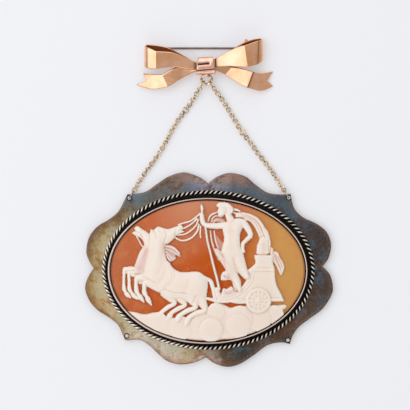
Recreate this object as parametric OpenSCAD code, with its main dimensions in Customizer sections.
// A cameo brooch that lies face up: a ribbon bow with its pin, two fine chains, and an oval shell
// cameo in a scalloped frame. X runs to the right, Y towards the bow and Z out of the face. The
// origin lies under the middle of the whole, on the surface that it rests on. Millimetres.

/* [Ribbon bow] */
// Length of the left loop, from the knot's middle to its fold
loop_left_l = 18.1; // [15:0.1:22]
// Length of the right loop, from the knot's middle to its fold
loop_right_l = 17.1; // [15:0.1:21]
// Length of the left tail, from the knot's middle to its farther tip
tail_left_l = 21; // [17:0.1:25]
// Length of the right tail, from the knot's middle to its tips
tail_right_l = 20.2; // [17:0.1:25]
// Width of the ribbon
ribbon_w = 6.3; // [5.8:0.1:7.5]
// Thickness of the ribbon's sheet
sheet_t = 0.45; // [0.35:0.05:0.6]
// How far a loop's front stands in front of its back
loop_d = 4.2; // [3.6:0.1:5.5]

/* [Knot band and ring] */
// Length of the band at its lower edge, along the bow
knot_w = 5.95; // [4.7:0.05:7]
// Length of the band at its upper edge
knot_top_w = 4.5; // [4:0.05:5.5]
// Height of the band, across the bow
knot_h = 5.3; // [5:0.1:7]
// Thickness of the band's sheet
knot_t = 0.5; // [0.35:0.05:0.7]
// Outer width of the ring that is soldered under the band
ring_w = 3.9; // [3.5:0.1:5]
// Thickness of that ring's wire
ring_wire = 0.85; // [0.7:0.05:1]
// How far that ring leans back towards the table, in degrees
ring_lean = 30; // [10:1:35]

/* [Pin] */
// Length of the pin, from its rivet to its point
pin_l = 26.2; // [25.6:0.1:28]
// Thickness of the pin's wire
pin_wire = 0.65; // [0.5:0.05:0.8]
// Distance from the knot's middle to the rivet, along the bow
rivet_x = 12.8; // [12:0.1:14]
// Height of the pin's wire above the knot's middle
pin_y = 5.35; // [4.9:0.05:5.6]
// Thickness of the rivet
rivet_d = 0.75; // [0.6:0.05:0.9]
// Thickness of the rivet's head
rivet_head_t = 0.3; // [0.2:0.05:0.4]
// Distance from the rivet to the catch's middle
catch_x = 24.9; // [24:0.1:25]
// Width of the catch, along the pin
catch_w = 1.2; // [0.8:0.1:1.6]
// Thickness of the catch's strip
catch_t = 0.3; // [0.2:0.05:0.4]
// How far the catch's lip reaches past the pin's middle
lip_l = 2.8; // [1.5:0.1:2.9]

/* [Chains] */
// Distance from the knot's middle to the frame's middle
drop = 61.1; // [57:0.1:66]
// Thickness of the chain's wire
chain_wire = 0.35; // [0.3:0.01:0.36]
// Width of a link
link_w = 1.5; // [1.4:0.05:1.7]
// Distance between one link and the next, evened out to fill the length
link_pitch = 0.94; // [0.93:0.01:1.05]
// Width of the round ring that joins two lengths of chain
join_w = 2.1; // [1.9:0.1:2.4]
// Length of the long ovals at both ends of a chain
oval_l = 3; // [2.8:0.1:3.4]
// Height of these ovals
oval_w = 2.1; // [2:0.05:2.3]
// Thickness of the ovals' and the joining rings' wire
oval_wire = 0.4; // [0.35:0.01:0.45]

/* [Frame] */
// Width of the scalloped plate
frame_w = 74.4; // [71:0.1:80]
// Height of the scalloped plate
frame_h = 58.4; // [56:0.1:64]
// Thickness of the plate
plate_t = 0.8; // [0.6:0.05:1]
// Height of the plate's back above the table
plate_z = 1.1; // [0.9:0.05:1.3]
// Diameter of the holes in the plate's ears
hole_d = 1.05; // [0.9:0.05:1.1]
// How far a hole lies inside the tip of its ear, across
hole_in_x = 0.6; // [0.5:0.05:0.8]
// How far a hole lies inside the tip of its ear, up and down
hole_in_y = 1.2; // [1.1:0.05:1.5]

/* [Setting and rope] */
// Outer width of the setting's oval wall
setting_w = 60.1; // [58:0.1:62]
// Outer height of the setting's oval wall
setting_h = 44.1; // [42:0.1:46]
// Height of the setting's rim above the table
setting_z = 4.3; // [4:0.1:5]
// Thickness of the setting's wall
wall_t = 0.5; // [0.3:0.05:0.6]
// How far the rim is turned in over the cameo
rim_in = 0.45; // [0.3:0.05:0.6]
// Thickness of the turned rim
rim_t = 0.35; // [0.25:0.05:0.45]
// Width of the ledge that the cameo lies on
ledge_w = 1.6; // [1:0.1:2.5]
// Thickness of that ledge
ledge_t = 0.8; // [0.5:0.05:1]
// Thickness of the rope wire laid round the setting
rope_d = 1.35; // [1:0.05:1.5]
// Gap between the setting and the rope
rope_gap = 0.6; // [0.4:0.05:0.8]

/* [Cameo] */
// How much higher the shell's middle is than its edge
dome_h = 3.4; // [2.4:0.1:4.5]
// Thickness of the shell at its middle
shell_t = 2.2; // [1.8:0.1:2.8]
// Height of one layer of the carving
layer_h = 0.45; // [0.3:0.05:0.6]

/* [Hidden] */
$fn = 32;

// Gaps between pieces that lie against each other, and round a wire that turns on a rivet
fit_gap = 0.05;
rivet_gap = 0.05;
band_gap = 0.18;
wire_gap = 0.12;
pin_gap = 0.12;
cameo_gap = 0.1;

// The heights of the pin, the ribbon and the knot, each standing on the one below it
pin_z = rivet_head_t + fit_gap + pin_wire / 2;
back_z = pin_z + pin_wire / 2 + pin_gap + sheet_t / 2;
// How far forward the ribbon lies at the knot, as shares of the loops' depth
knot_back = 0.14;
knot_tail = 0.42;
knot_front = 0.70;
band_d = (knot_front - knot_back) * loop_d + sheet_t + 2 * band_gap + 2 * knot_t;
band_z = back_z + (knot_front + knot_back) / 2 * loop_d;
// Half the width of the ribbon where it is gathered in the knot, as a share of its width
gather = 0.18;

// Where the frame, the setting and the knot lie: the whole is centred on the origin
bow_top = 1.34 * ribbon_w;
frame_y = -(drop + bow_top - frame_h / 2) / 2;
// How far the knot and the setting lie beside the frame's middle, and the setting below it
knot_x = -1.03;
setting_x = -0.43;
setting_down = 0.22;
knot_at = [knot_x, frame_y + drop, 0];
setting_at = [setting_x, frame_y - setting_down, 0];

// The rings that the chains hang from and pass through
ring_r = (ring_w - ring_wire) / 2;
ring_bite = 0.2;
ring_x = 0.3;
ring_at = knot_at + [ring_x, ring_bite - knot_h / 2 - ring_w / 2 * cos(ring_lean), band_z - ring_r * sin(ring_lean)];
hang_turn = 43;

// The ears' tips as shares of half the plate's size: upper left, upper right, lower left, lower right.
// A hole lies inside each tip.
ears = [[-0.659, 0.777], [0.659, 0.780], [-0.679, -0.721], [0.652, -0.766]];
function ear_hole(tip) = [tip.x * frame_w / 2 - sign(tip.x) * hole_in_x,
    frame_y + tip.y * frame_h / 2 - sign(tip.y) * hole_in_y, 0];
bail_z = plate_z + plate_t / 2;
chain_z = link_w / 2 + fit_gap;
rise_l = 9;

// The cameo's edge and face inside the setting
cameo_rx = setting_w / 2 - wall_t - cameo_gap;
cameo_ry = setting_h / 2 - wall_t - cameo_gap;
cameo_back = ledge_t + fit_gap;
cameo_edge = setting_z - rim_t - fit_gap - dome_h * (1 - pow(1 - (rim_in - cameo_gap) / cameo_ry, 2));

// How a chain lies: how far along it, as a share, and how far it strays to the side
sway_left = [[0, 0], [0.15, 0.2], [0.4, -0.25], [0.65, 0.3], [0.85, -0.1], [1, 0]];
sway_right = [[0, 0], [0.2, -0.3], [0.45, 0.15], [0.6, 0.35], [0.85, -0.15], [1, 0]];
// Where the joining ring is, as a share of the links counted from the frame
join_left = 0.79;
join_right = 0.54;

// Smooth curves through hand-placed points: item k of a list, the curve between items k and k + 1,
// and a whole curve, open or closed
function item(p, k) = p[max(0, min(len(p) - 1, k))];
function round_item(p, k) = p[(k + len(p)) % len(p)];
function blend(a, b, c, d, f) =
    0.5 * (2 * b + (c - a) * f + (2 * a - 5 * b + 4 * c - d) * f * f + (3 * b - a - 3 * c + d) * f * f * f);
function open_curve(p, steps) = concat(
    [for (k = [0 : len(p) - 2]) for (s = [0 : steps - 1])
        blend(item(p, k - 1), p[k], p[k + 1], item(p, k + 2), s / steps)],
    [p[len(p) - 1]]);
function closed_curve(p, steps) =
    [for (k = [0 : len(p) - 1]) for (s = [0 : steps - 1])
        blend(round_item(p, k - 1), p[k], round_item(p, k + 1), round_item(p, k + 2), s / steps)];
function oval(rx, ry, count) = [for (k = [0 : count - 1]) [rx * cos(360 * k / count), ry * sin(360 * k / count)]];
function unit(v) = v / norm(v);
function reversed(p) = [for (k = [len(p) - 1 : -1 : 0]) p[k]];
function without_first(p) = [for (k = [1 : len(p) - 1]) p[k]];

// A strip of sheet. A row gives the strip's lower and upper edge as shares of a length and the
// ribbon's width, then how far forward it lies as a share of the loops' depth, and how far the
// middle of its end is cut in. The strip is a chain of six-cornered rings.
function strip_rings(rows, l) = [for (k = [0 : len(rows) - 1])
    let (
        low = [rows[k][0] * l, rows[k][1] * ribbon_w, back_z + rows[k][4] * loop_d],
        high = [rows[k][2] * l, rows[k][3] * ribbon_w, low.z],
        before = item(rows, k - 1),
        after = item(rows, k + 1),
        along = [(after[0] + after[2] - before[0] - before[2]) / 2 * l,
            (after[1] + after[3] - before[1] - before[3]) / 2 * ribbon_w,
            (after[4] - before[4]) * loop_d],
        out = unit(cross(along, high - low)) * sheet_t / 2,
        middle = (low + high) / 2 - unit(along) * rows[k][5] * ribbon_w)
    [low + out, middle + out, high + out, high - out, middle - out, low - out]];
module strip(rows, l) {
    rings = strip_rings(rows, l);
    last = 6 * (len(rings) - 1);
    polyhedron(
        points = [for (ring = rings) for (p = ring) p],
        faces = concat(
            [for (k = [0 : len(rings) - 2]) for (j = [0 : 5])
                let (a = 6 * k + j, b = 6 * k + (j + 1) % 6)
                each [[a, b, b + 6], [a, b + 6, a + 6]]],
            [[0, 5, 4], [0, 4, 1], [1, 4, 3], [1, 3, 2]],
            [[last, last + 4, last + 5], [last, last + 1, last + 4],
                [last + 1, last + 3, last + 4], [last + 1, last + 2, last + 3]]));
}

// The loops and tails from the knot's middle: low x, low y, high x, high y, forward, cut
left_loop = [
    [-0.03, -gather, -0.03, gather, knot_front, 0], [0.16, -0.20, 0.16, 0.16, 0.72, 0],
    [0.33, -0.14, 0.33, 0.39, 0.88, 0], [0.54, -0.07, 0.54, 0.65, 0.98, 0],
    [0.82, -0.16, 0.82, 0.73, 1.00, 0], [0.92, -0.15, 0.92, 0.88, 0.80, 0],
    [1.00, -0.07, 1.00, 0.93, 0.42, 0], [0.96, 0.00, 0.96, 1.01, 0.08, 0],
    [0.79, 0.05, 0.79, 0.95, 0, 0], [0.61, 0.04, 0.61, 0.83, 0, 0],
    [0.34, -0.02, 0.34, 0.47, 0.04, 0], [0.17, -0.08, 0.17, 0.21, 0.13, 0],
    [-0.03, -gather, -0.03, gather, knot_back, 0]];
right_loop = [
    [-0.03, -gather, -0.03, gather, knot_front, 0], [0.16, -0.07, 0.15, 0.31, 0.72, 0],
    [0.40, -0.03, 0.40, 0.71, 0.92, 0], [0.62, -0.06, 0.60, 0.95, 0.99, 0],
    [0.74, -0.07, 0.68, 0.99, 1.00, 0], [0.92, 0.08, 0.94, 1.29, 0.66, 0],
    [0.99, 0.22, 1.00, 1.28, 0.32, 0], [0.93, 0.22, 0.93, 1.32, 0.05, 0],
    [0.62, 0.14, 0.62, 1.05, 0, 0], [0.44, 0.05, 0.44, 0.74, 0, 0],
    [0.20, -0.05, 0.20, 0.36, 0.12, 0], [-0.03, -gather, -0.03, gather, knot_back, 0]];
left_tail = [
    [-0.02, -gather, -0.02, gather, knot_tail, 0], [0.15, -0.28, 0.15, 0.10, 0.34, 0],
    [0.36, -0.64, 0.33, 0.05, 0.34, 0], [0.45, -0.84, 0.46, -0.10, 0.40, 0],
    [0.54, -1.00, 0.62, -0.40, 0.42, 0], [0.76, -1.11, 0.74, -0.40, 0.16, 0],
    [0.985, -0.90, 0.885, -0.34, -0.24, 0.38]];
right_tail = [
    [-0.02, -gather, -0.02, gather, knot_tail, 0], [0.15, -0.24, 0.15, 0.14, 0.38, 0],
    [0.30, -0.40, 0.36, 0.00, 0.22, 0], [0.48, -0.82, 0.50, -0.07, 0.28, 0],
    [0.62, -1.04, 0.71, -0.29, 0.40, 0], [0.82, -1.19, 0.84, -0.34, 0.10, 0],
    [0.995, -0.98, 0.995, -0.25, -0.24, 0.30]];

// The rivet post for the pin, from its head on the table up into the left loop's back
eye_r = rivet_d / 2 + rivet_gap + pin_wire / 2;
rivet_at = [-rivet_x, pin_y - eye_r, 0];
module rivet() {
    translate(rivet_at) {
        cylinder(d = 2 * eye_r, h = rivet_head_t);
        cylinder(d = rivet_d, h = back_z);
    }
}

// The catch: a strip bent to a U on its side, round the pin and open towards the top of the bow
module catch() {
    web_y = pin_y - pin_wire / 2 - pin_gap - catch_t;
    lip_round = catch_w / 2;
    translate([catch_x - rivet_x, 0, 0]) {
        translate([-catch_w / 2, web_y, 0]) cube([catch_w, catch_t, back_z]);
        translate([-catch_w / 2, web_y, 0]) cube([catch_w, pin_y + lip_l - lip_round - web_y, catch_t]);
        translate([0, pin_y + lip_l - lip_round, 0]) cylinder(r = lip_round, h = catch_t);
    }
}

module bow_ribbon() {
    color("#c8946c") translate(knot_at) {
        mirror([1, 0, 0]) strip(open_curve(left_loop, 3), loop_left_l);
        mirror([1, 0, 0]) strip(open_curve(left_tail, 4), tail_left_l);
        strip(open_curve(right_loop, 3), loop_right_l);
        strip(open_curve(right_tail, 4), tail_right_l);
        translate([-knot_w / 4, -gather * ribbon_w * 0.8, back_z + knot_back * loop_d])
            cube([knot_w / 2, gather * ribbon_w * 1.6, (knot_front - knot_back) * loop_d]);
        rivet();
        catch();
    }
}

// The band's outline seen along the bow, t thinner all round than its outer face
band_corner = 1.3;
module band_outline(t) {
    corner = band_corner - t;
    w = knot_h - 2 * t;
    d = band_d - 2 * t;
    square([w - 2 * corner, d], center = true);
    square([w, d - 2 * corner], center = true);
    for (sx = [-1, 1]) for (sy = [-1, 1])
        translate([sx * (w / 2 - corner), sy * (d / 2 - corner)]) circle(r = corner);
}
module knot_band() {
    color("#d9a98c") {
        translate(knot_at + [0, 0, band_z]) intersection() {
            rotate([90, 0, 90]) linear_extrude(knot_w, center = true) difference() {
                band_outline(0);
                band_outline(knot_t);
            }
            linear_extrude(2 * band_d, center = true) polygon([[-knot_w / 2, -knot_h / 2],
                [knot_w / 2, -knot_h / 2], [knot_top_w / 2, knot_h / 2], [-knot_top_w / 2, knot_h / 2]]);
        }
        translate(ring_at) rotate([ring_lean, 0, 0])
            rotate_extrude() translate([ring_r, 0]) circle(d = ring_wire);
    }
}

module pin_stem() {
    taper_l = 3;
    tip_d = 0.15;
    color("#b8a48c") translate(knot_at + rivet_at + [0, 0, pin_z]) {
        rotate([0, 0, 90]) rotate_extrude(angle = 270) translate([eye_r, 0]) circle(d = pin_wire);
        translate([0, eye_r, 0]) rotate([0, 90, 0]) {
            cylinder(d = pin_wire, h = pin_l - taper_l);
            translate([0, 0, pin_l - taper_l]) cylinder(d1 = pin_wire, d2 = tip_d, h = taper_l);
        }
    }
}

// A link or a long oval, lying flat along X round its own middle
module oval_link(l, w, wire) {
    bend_r = (w - wire) / 2;
    side_l = l - w;
    for (end = [-1, 1]) {
        translate([end * side_l / 2, 0, 0]) rotate([0, 0, -90 * end])
            rotate_extrude(angle = 180) translate([bend_r, 0]) circle(d = wire);
        translate([-side_l / 2, end * bend_r, 0]) rotate([0, 90, 0]) cylinder(d = wire, h = side_l);
    }
}

// A chain's way on one side (-1 left, 1 right), from the hole in the frame's ear to the ring's wire
function hole_at(side) = ear_hole(side < 0 ? ears[0] : ears[1]);
function hang_at(side) = ring_at + [ring_r * sin(side * hang_turn), -ring_r * cos(hang_turn) * cos(ring_lean),
    -ring_r * cos(hang_turn) * sin(ring_lean)];
function flat(v) = [v.x, v.y, 0];
function chain_run(side) = norm(flat(hang_at(side) - hole_at(side)));
function chain_dir(side) = unit(flat(hang_at(side) - hole_at(side)));
function ease(x) = let (c = max(0, min(1, x))) c * c * (3 - 2 * c);
function sway_at(sway, f) = let (k = max([for (i = [0 : len(sway) - 2]) if (sway[i][0] <= f) i]))
    let (g = (f - sway[k][0]) / (sway[k + 1][0] - sway[k][0]))
    sway[k][1] + (sway[k + 1][1] - sway[k][1]) * ease(g);
function on_chain(side, sway, s) = let (run = chain_run(side), dir = chain_dir(side))
    hole_at(side) + dir * s + [-dir.y, dir.x, 0] * sway_at(sway, s / run)
        + [0, 0, chain_z + (bail_z - chain_z) * ease(1 - s / rise_l)
            + (hang_at(side).z - chain_z) * ease(1 - (run - s) / rise_l)];

// The long ovals stand on edge, so that they pass through the plate and round the ring
bail_start = -oval_wire / 2;
hanger_end = ring_wire / 2 + wire_gap + oval_wire;
link_gap = link_pitch / 2 - chain_wire;
hook = oval_wire + chain_wire + link_gap;
module on_edge_oval(side, middle, z) {
    dir = chain_dir(side);
    translate(flat(hole_at(side)) + dir * middle + [0, 0, z]) rotate([0, 0, atan2(dir.y, dir.x)])
        rotate([90, 0, 0]) oval_link(oval_l, oval_w, oval_wire);
}
module bail(side) {
    color("#c8a474") on_edge_oval(side, bail_start + oval_l / 2, bail_z);
}
module hanger(side) {
    color("#c8a474") on_edge_oval(side, chain_run(side) + hanger_end - oval_l / 2, hang_at(side).z);
}

// An odd number of links, so that the first and the last both lie across the ovals that they hold,
// and an even place for the joining ring, so that it lies flat.
// A link is as long as leaves the same gap to its neighbours and to the link after next, in even
// steps, so that its two bends meet its sides exactly and it stays one solid.
link_step = 0.002;
module chain(side, sway, join) {
    first = bail_start + oval_l - hook;
    room = chain_run(side) + hanger_end - oval_l + hook - first;
    extra = join_w - 1.5 * link_pitch - chain_wire - 2 * (oval_wire - chain_wire);
    count = 2 * round(((room - chain_wire - extra) / link_pitch - 1.5) / 2) + 1;
    pitch = (room - chain_wire - extra) / (count + 0.5);
    link_l = floor((1.5 * pitch + chain_wire) / link_step) * link_step;
    join_k = 2 * round(join * count / 2);
    look = pitch / 2;
    for (k = [0 : count - 1]) {
        s = first + link_l / 2 + k * pitch + extra * (k < join_k ? 0 : k == join_k ? 0.5 : 1);
        p = on_chain(side, sway, s);
        v = on_chain(side, sway, s + look) - on_chain(side, sway, s - look);
        translate(p) rotate([0, -atan2(v.z, norm(flat(v))), atan2(v.y, v.x)])
            rotate([90 * (k % 2) + 12 * sin(75 * k), 0, 0])
                if (k == join_k) rotate_extrude() translate([(join_w - oval_wire) / 2, 0]) circle(d = oval_wire);
                else oval_link(link_l, link_w, chain_wire);
    }
}
module chain_left() { color("#c8a474") chain(-1, sway_left, join_left); }
module chain_right() { color("#c8a474") chain(1, sway_right, join_right); }

// The plate's outline as shares of half its size, clockwise from its top notch. Each line is one half
// of a lobe, between a notch and an ear, and the corners between the lines stay sharp.
half_lobes = [
    [[-0.005, 0.882], [0.013, 0.909], [0.077, 0.963], [0.173, 0.994], [0.290, 0.960], [0.371, 0.878],
        [0.468, 0.794], [0.572, 0.773], ears[1]],
    [ears[1], [0.665, 0.730], [0.690, 0.624], [0.760, 0.537], [0.864, 0.475], [0.947, 0.390],
        [0.985, 0.261], [0.965, 0.122], [0.916, 0.033]],
    [[0.916, 0.033], [0.975, -0.050], [1.000, -0.178], [0.985, -0.269], [0.915, -0.404],
        [0.815, -0.501], [0.724, -0.591], [0.674, -0.682], ears[3]],
    [ears[3], [0.579, -0.749], [0.468, -0.780], [0.356, -0.884], [0.246, -0.971], [0.148, -1.000],
        [0.051, -0.968], [-0.026, -0.903]],
    [[-0.026, -0.903], [-0.123, -0.957], [-0.235, -0.975], [-0.339, -0.939], [-0.415, -0.860],
        [-0.485, -0.776], [-0.561, -0.722], [-0.652, -0.727], ears[2]],
    [ears[2], [-0.695, -0.674], [-0.735, -0.568], [-0.811, -0.488], [-0.902, -0.413],
        [-0.968, -0.312], [-1.000, -0.187], [-0.974, -0.072], [-0.931, 0.012]],
    [[-0.931, 0.012], [-0.969, 0.094], [-0.990, 0.190], [-0.967, 0.334], [-0.900, 0.444],
        [-0.806, 0.517], [-0.732, 0.598], [-0.685, 0.708], ears[0]],
    [ears[0], [-0.605, 0.779], [-0.510, 0.802], [-0.418, 0.882], [-0.326, 0.957], [-0.200, 1.000],
        [-0.073, 0.948], [-0.005, 0.882]]];
plate_outline = [for (line = half_lobes) for (q = without_first(open_curve(line, 3)))
    [q.x * frame_w / 2, q.y * frame_h / 2]];

// A flat oval ring of the setting, from z low to z high, t and inner_t inside the wall's outer face
module setting_ring(low, high, t, inner_t) {
    translate(setting_at + [0, 0, low]) linear_extrude(high - low) difference() {
        polygon(oval(setting_w / 2 - t, setting_h / 2 - t, 96));
        polygon(oval(setting_w / 2 - inner_t, setting_h / 2 - inner_t, 96));
    }
}
module scalloped_frame() {
    color("#7d766b") {
        difference() {
            translate([0, frame_y, plate_z]) linear_extrude(plate_t) polygon(plate_outline);
            translate(setting_at) linear_extrude(setting_z)
                polygon(oval((setting_w - wall_t) / 2, (setting_h - wall_t) / 2, 96));
            for (tip = ears) translate(ear_hole(tip)) cylinder(d = hole_d, h = setting_z);
        }
        setting_ring(0, setting_z, 0, wall_t);
        setting_ring(0, ledge_t, wall_t / 2, wall_t + ledge_w);
        setting_ring(setting_z - rim_t, setting_z, wall_t / 2, wall_t + rim_in);
    }
}

// The rope as a plain oval ring of wire; eight-sided, with its sides as far out as the wire's
module rope_border() {
    out = rope_gap + rope_d / 2;
    turns = 96;
    corner = rope_d / 2;
    color("#b8b0a4") translate(setting_at + [0, 0, plate_z + plate_t + fit_gap + corner]) polyhedron(
        points = [for (k = [0 : turns - 1]) for (j = [0 : 7])
            let (a = 360 * k / turns, n = unit([cos(a) / setting_w, sin(a) / setting_h]))
            [(setting_w / 2 + out) * cos(a) + n.x * corner * cos(45 * j),
                (setting_h / 2 + out) * sin(a) + n.y * corner * cos(45 * j), corner * sin(45 * j)]],
        faces = [for (k = [0 : turns - 1]) for (j = [0 : 7])
            let (a = 8 * k, b = 8 * ((k + 1) % turns), i = (j + 1) % 8)
            each [[a + j, a + i, b + i], [a + j, b + i, b + j]]]);
}

// The carving on the shell's face, in hundredths of half the shell's width and height. A stroke's
// rows have half a width too, in hundredths of half the shell's width.
far_legs = [
    [[-71, -2, 4], [-78, -4, 3], [-79, -23, 2.5], [-72, -38, 3]],
    [[-61, -13, 4], [-65, -15, 3], [-64, -31, 2.5], [-58, -45, 3]],
    [[-37, -38, 4], [-31, -45, 3], [-41, -58, 2.5], [-41, -67, 3]],
    [[-16, -41, 4], [-11, -52, 3], [-20, -62, 2.5], [-24, -72, 3]]];
near_legs = [
    [[-74, 2, 4], [-83, 0, 3], [-84, -20, 2.5], [-79, -36, 3]],
    [[-66, -7, 4], [-72, -10, 3], [-72, -27, 2.5], [-65, -41, 3]],
    [[-45, -36, 4], [-39, -44, 3], [-49, -56, 2.5], [-51, -64, 3]],
    [[-25, -35, 5], [-17, -48, 3], [-29, -59, 2.5], [-33, -67, 3]]];
horses = [[-71, 64], [-61, 56], [-53, 60], [-41, 59], [-26, 66], [-23, 62], [-24, 56], [-31, 50],
    [-39, 39], [-43, 35], [-42, 22], [-37, 9], [-32, 2], [-26, -1], [-14, 0], [-4, -4], [1, -11],
    [2, -24], [-2, -34], [-6, -41], [-5, -50], [-12, -55], [-21, -42], [-28, -33], [-41, -41],
    [-55, -25], [-67, -10], [-73, 4], [-72, 16], [-66, 32], [-69, 47], [-76, 54], [-72, 58]];
clouds = [[-82, -56], [-63, -61], [-45, -60], [-12, -56], [-1, -53], [11, -45], [21, -52], [37, -47],
    [60, -53], [79, -51], [74, -64], [62, -76], [49, -84], [29, -91], [5, -95], [-17, -93],
    [-43, -85], [-63, -73], [-75, -62]];
chariot = [[49, 21], [68, 21], [68, 4], [71, -10], [75, -29], [80, -44], [11, -44], [14, -37],
    [30, -30], [40, -16], [46, 4], [50, 11]];
drape = [[52, 44], [60, 49], [65, 40], [66, 22], [50, 22], [48, 34]];
torso = [[16, 68], [28, 73], [38, 72], [37, 58], [34, 47], [38, 15], [38, 2], [30, -2], [22, 5],
    [15, 28], [18, 45], [15, 58]];
thin_strokes = [
    [[-6, 92, 1.5], [-2, 66, 1.8], [5, 20, 1.4], [12, -28, 1.5]],
    [[-3, 76, 1.6], [-12, 66, 1.3], [-25, 60, 1.3]], [[-3, 72, 1.3], [-11, 56, 1.3], [-27, 46, 1.3]],
    [[33, 71, 4], [46, 70, 4], [55, 60, 4.5], [60, 46, 4.5]], [[7, 58, 3], [10, 44, 3.5], [14, 30, 2]],
    [[66, 28, 2.5], [71, 18, 4.5], [78, -2, 3]]];
limbs = [
    [[36, 66, 4.5], [20, 62, 4], [0, 63, 3]], [[36, 66, 4.5], [45, 47, 3.5], [44, 44, 3], [36, 30, 2.5]],
    [[30, 10, 5], [30, -8, 4], [33, -27, 3]], [[36, 10, 4], [37, -2, 3.5], [40, -14, 3]],
    [[7, 32, 2.5], [20, 10, 4], [32, -24, 3.5]], [[2, -10, 2.5], [7, -23, 3], [9, -42, 2.5]]];
// Round lumps: where, how large, and how high in layers
lumps = [[4, -82, 10, 2.4], [31, -70, 12, 2.6], [53, -68, 10, 2.2], [-30, -80, 10, 2], [-54, -72, 8, 1.8],
    [11, -56, 8, 2], [-16, -68, 8, 2], [70, -62, 6, 1.6], [52, -41, 11, 3], [19, 84, 6, 3],
    [30, 81, 4.5, 2.4], [33, 75, 3, 2]];
// How wide the slope at a raised shape's edge is
slope_w = 0.9;
// How high the carving's kinds of form stand, in layers
low_limb = 1.2;
high_limb = 2;
thin_line = 1;
figure_limb = 2.6;
horse_top = 2.2;
cloud_top = 1.2;
chariot_top = 2;
drape_top = 1.6;
torso_top = 2.4;

function mm(p) = [p.x * cameo_rx, p.y * cameo_ry] / 100;
function along_edge(p, a, b) = max(0, min(1, (p - a) * (b - a) / ((b - a) * (b - a))));
function crosses(p, a, b) = (a.y > p.y) != (b.y > p.y)
    && p.x < a.x + (p.y - a.y) / (b.y - a.y) * (b.x - a.x);
// How high a closed shape, a stroke and a lump stand at a point, in layers: full inside, then a slope
function shape_up(p, shape, level) = let (
        q = [for (v = shape) mm(v)],
        n = len(q),
        gap = min([for (k = [0 : n - 1]) let (a = q[k], b = q[(k + 1) % n])
            norm(p - a - (b - a) * along_edge(p, a, b))]),
        hits = len([for (k = [0 : n - 1]) if (crosses(p, q[k], q[(k + 1) % n])) 1]))
    level * ease(0.5 + (hits % 2 == 1 ? gap : -gap) / slope_w);
function stroke_up(p, rows, level) = max([for (k = [0 : len(rows) - 2])
    let (a = mm(rows[k]), b = mm(rows[k + 1]), f = along_edge(p, a, b),
        half_w = (rows[k].z + (rows[k + 1].z - rows[k].z) * f) * cameo_rx / 100)
    level * ease(0.5 + (half_w - norm(p - a - (b - a) * f)) / slope_w)]);
function lump_up(p, row) = let (d = norm(p - mm(row)) / (row.z * cameo_rx / 100))
    d < 1 ? row[3] * sqrt(1 - d * d) : 0;
function carved(p) = layer_h * max(concat(
    [for (rows = far_legs) stroke_up(p, rows, low_limb)],
    [for (rows = near_legs) stroke_up(p, rows, high_limb)],
    [for (rows = thin_strokes) stroke_up(p, rows, thin_line)],
    [for (rows = limbs) stroke_up(p, rows, figure_limb)],
    [for (row = lumps) lump_up(p, row)],
    [shape_up(p, horses, horse_top), shape_up(p, clouds, cloud_top), shape_up(p, chariot, chariot_top),
        shape_up(p, drape, drape_top), shape_up(p, torso, torso_top)]));

// The shell: a hollow back and a domed face with the carving on it, as oval rings from the middle
// of the back to the middle of the face
shell_turns = 120;
face_rings = 26;
function on_oval(share, k) = [cameo_rx * share * cos(360 * k / shell_turns),
    cameo_ry * share * sin(360 * k / shell_turns)];
function bulge(share) = 1 - share * share;
module shell() {
    back_rise = cameo_edge + dome_h - shell_t - cameo_back;
    points = concat(
        [for (share = [1 / 3, 2 / 3, 1]) for (k = [0 : shell_turns - 1])
            let (p = on_oval(share, k)) [p.x, p.y, cameo_back + back_rise * bulge(share)]],
        [for (r = [face_rings : -1 : 1]) for (k = [0 : shell_turns - 1])
            let (share = r / face_rings, p = on_oval(share, k))
            [p.x, p.y, cameo_edge + dome_h * bulge(share) + (share < 0.94 ? carved(p) : 0)]],
        [[0, 0, cameo_back + back_rise], [0, 0, cameo_edge + dome_h + carved([0, 0])]]);
    count = (3 + face_rings) * shell_turns;
    polyhedron(points = points, faces = concat(
        [for (r = [0 : 1 + face_rings]) for (k = [0 : shell_turns - 1])
            let (a = r * shell_turns, b = a + shell_turns, i = (k + 1) % shell_turns)
            each [[a + k, b + i, a + i], [a + k, b + k, b + i]]],
        [for (k = [0 : shell_turns - 1]) [count, k, (k + 1) % shell_turns]],
        [for (k = [0 : shell_turns - 1])
            let (a = count - shell_turns) [count + 1, a + (k + 1) % shell_turns, a + k]]));
}
module cameo() {
    color("#e8c8a8") translate(setting_at) shell();
}

bow_ribbon();
knot_band();
pin_stem();
hanger(-1);  // hanger_left
hanger(1);  // hanger_right
chain_left();
chain_right();
bail(-1);  // bail_left
bail(1);  // bail_right
scalloped_frame();
rope_border();
cameo();
